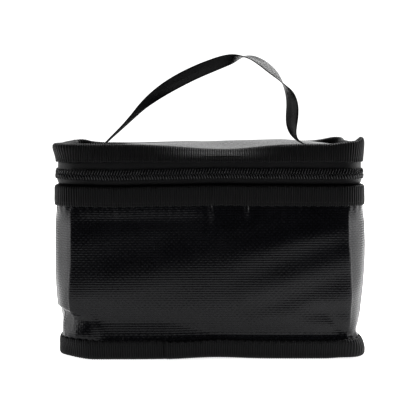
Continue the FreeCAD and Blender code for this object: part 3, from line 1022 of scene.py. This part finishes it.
def strap_stitches():
    """A sewn box with a cross on each tail."""
    for name, x0, x1 in (("left", -92.5, -80.5), ("right", 76.0, 88.0)):
        y0, y1 = STRAP_Y - 3.8, STRAP_Y + 3.8
        corners = [(x0, y0), (x1, y0), (x1, y1), (x0, y1), (x0, y0), (x1, y1), (x1, y0), (x0, y1)]
        paths = []
        for (ax, ay), (bx, by) in zip(corners[:-1], corners[1:]):
            run = math.hypot(bx - ax, by - ay)
            count = max(2, round(run / 2.2))
            for k in range(count):
                t = np.linspace(k + 0.12, k + 0.88, 5) / count
                lift = 0.12 * (1 - (2 * np.linspace(0, 1, 5) - 1) ** 2)
                z = tail_height(ax + (bx - ax) * t) + STRAP_T / 2
                paths.append(np.stack([ax + (bx - ax) * t, ay + (by - ay) * t, z + lift], 1) * MM)
        obj = mesh_object("strap_stitches_" + name, *tube_mesh(paths, 0.2 * MM))
        finish_piece(obj, "lid", MAT["thread"])


# ---------------------------------------------------------------- small hardware

def dress_hardware():
    """The sliders, pull tabs and end stops keep their designed shape, with softened edges."""
    for node in ("slider_front", "slider_rear", "pull_tab_front", "pull_tab_rear", "zip_end_stops"):
        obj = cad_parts[node]
        for slot in obj.material_slots:
            slot.material = MAT["metal"]
        bevel = obj.modifiers.new("edges", "BEVEL")
        bevel.width = 0.22 * MM
        bevel.segments = 2
        bevel.limit_method = "ANGLE"
        bevel.angle_limit = math.radians(40)
        bevel.harden_normals = False


# ---------------------------------------------------------------- stage

# The floor's edges, in metres.
FLOOR_FRONT, FLOOR_SIDE, FLOOR_BACK = 0.27, 1.6, 2.6
CAMERA_PLACE = (-0.0018, -0.636, 0.1717)
CAMERA_DOWN, CAMERA_TURN = 6.43, -0.21      # degrees
CAMERA_LENS = 72.1


def floor():
    """A pale, softly glowing table top, as on a lit product table."""
    me = bpy.data.meshes.new("floor")
    me.from_pydata([(-FLOOR_SIDE, -FLOOR_FRONT, 0), (FLOOR_SIDE, -FLOOR_FRONT, 0),
                    (FLOOR_SIDE, FLOOR_BACK, 0), (-FLOOR_SIDE, FLOOR_BACK, 0)], [], [(0, 1, 2, 3)])
    obj = bpy.data.objects.new("floor", me)
    bpy.context.scene.collection.objects.link(obj)
    n = Nodes("pale_floor")
    n.set(Base_Color=(0.9, 0.9, 0.9, 1), Roughness=0.9, Specular_IOR_Level=0.1,
          Emission_Color=(1, 1, 1, 1), Emission_Strength=0.72)
    me.materials.append(n.material)


def area_light(name, place, aim, size, power):
    data = bpy.data.lights.new(name, "AREA")
    data.shape = "RECTANGLE"
    data.size, data.size_y = size
    data.energy = power
    obj = bpy.data.objects.new(name, data)
    obj.location = place
    obj.rotation_mode = "QUATERNION"
    obj.rotation_quaternion = (Vector(aim) - Vector(place)).to_track_quat("-Z", "Y")
    bpy.context.scene.collection.objects.link(obj)


def studio():
    """A white room behind the table, a dark one in front, and softboxes at the sides, behind and above."""
    world = bpy.data.worlds.new("studio")
    bpy.context.scene.world = world
    world.use_nodes = True
    tree = world.node_tree

    def node(kind):
        return tree.nodes.new("ShaderNode" + kind)

    place, split, ramp = node("TexCoord"), node("SeparateXYZ"), node("MapRange")
    ramp.interpolation_type = "SMOOTHSTEP"
    ramp.inputs["From Min"].default_value = -0.05
    ramp.inputs["From Max"].default_value = 0.75
    ramp.inputs["To Min"].default_value = 0.025
    ramp.inputs["To Max"].default_value = 1.15
    tree.links.new(place.outputs["Generated"], split.inputs[0])
    tree.links.new(split.outputs[1], ramp.inputs["Value"])
    room = tree.nodes["Background"]
    tree.links.new(ramp.outputs[0], room.inputs["Strength"])
    room.inputs["Color"].default_value = (1, 1, 1, 1)
    white = node("Background")
    white.inputs["Color"].default_value = (1, 1, 1, 1)
    white.inputs["Strength"].default_value = 1.05
    path, mix = node("LightPath"), node("MixShader")
    tree.links.new(path.outputs["Is Camera Ray"], mix.inputs[0])
    tree.links.new(room.outputs[0], mix.inputs[1])
    tree.links.new(white.outputs[0], mix.inputs[2])
    tree.links.new(mix.outputs[0], tree.nodes["World Output"].inputs["Surface"])
    area_light("left_box", (-0.9, -0.14, 0.3), (0, 0, 0.08), (0.9, 0.6), 6.0)
    area_light("right_box", (0.9, -0.14, 0.3), (0, 0, 0.08), (0.9, 0.6), 7.2)
    area_light("back_right_box", (0.65, 0.36, 0.95), (0.03, -0.04, 0.2), (0.45, 0.45), 11.0)
    area_light("top_box", (0.0, 0.2, 1.1), (0, 0, 0.1), (1.0, 0.8), 9)
    bpy.context.scene.view_settings.view_transform = "Standard"
    bpy.context.scene.view_settings.look = "Medium High Contrast"


def camera():
    data = bpy.data.cameras.new("camera")
    data.sensor_width = 36.0
    data.lens = CAMERA_LENS
    data.clip_start, data.clip_end = 0.01, 50
    obj = bpy.data.objects.new("camera", data)
    obj.location = CAMERA_PLACE
    obj.rotation_euler = (math.radians(90 - CAMERA_DOWN), 0, math.radians(CAMERA_TURN))
    bpy.context.scene.collection.objects.link(obj)
    bpy.context.scene.camera = obj


# ---------------------------------------------------------------- the whole bag

def bound_stitches():
    rows = [("rim_stitches", body_point, 1.35, RIM_LOW[2] + 1.9, "bag_body"),
            ("bottom_stitches", body_point, 1.35, BOTTOM_HIGH[2] - 2.0, "bag_body"),
            ("lid_stitches", flange_place, 1.3, FLANGE_LOW[2] + 1.9, "lid")]
    for name, place, offset, height, body in rows:
        stitches(name, place, offset, height, body)
    for k, x in enumerate((2.2, 9.8)):
        t = np.linspace(0, 1, 6)
        starts = np.arange(16, 106, STITCH_PITCH)
        z = starts[:, None] + STITCH_LENGTH * t[None, :]
        s = np.full_like(z, ROUND - x)
        points = wall_place(s, 0.12 - 0.16 * (2 * t - 1)[None, :] ** 2 + 0 * z, z)
        obj = mesh_object("back_seam_stitches_%d" % (k + 1), *tube_mesh(points, 0.24 * MM))
        finish_piece(obj, "bag_body", MAT["thread"])


def build():
    body_wall()
    body_liner()
    bottom_sheet("bottom_panel_cloth", 2.1, 0.0, MAT["shell"], "bottom_panel")
    bottom_sheet("bottom_lining_cloth", 1.45, 0.7, MAT["lining"], "bottom_liner")
    bottom_binding()
    rim_binding()
    lower_tape()
    teeth("zip_teeth_lower", body_point, -1, "bag_body", "zip_coil_lower")
    teeth("zip_teeth_upper", body_point, 1, "lid", "zip_coil_upper")
    upper_tape()
    hinge_web()
    lid_sheet("lid_panel_cloth", 0.0, 0.7, MAT["shell"], "lid_panel")
    lid_sheet("lid_lining_cloth", 0.8, 0.5, MAT["lining"], "lid_liner")
    lid_binding()
    strap()
    strap_stitches()
    bound_stitches()
    dress_hardware()
    floor()
    studio()
    camera()


build()
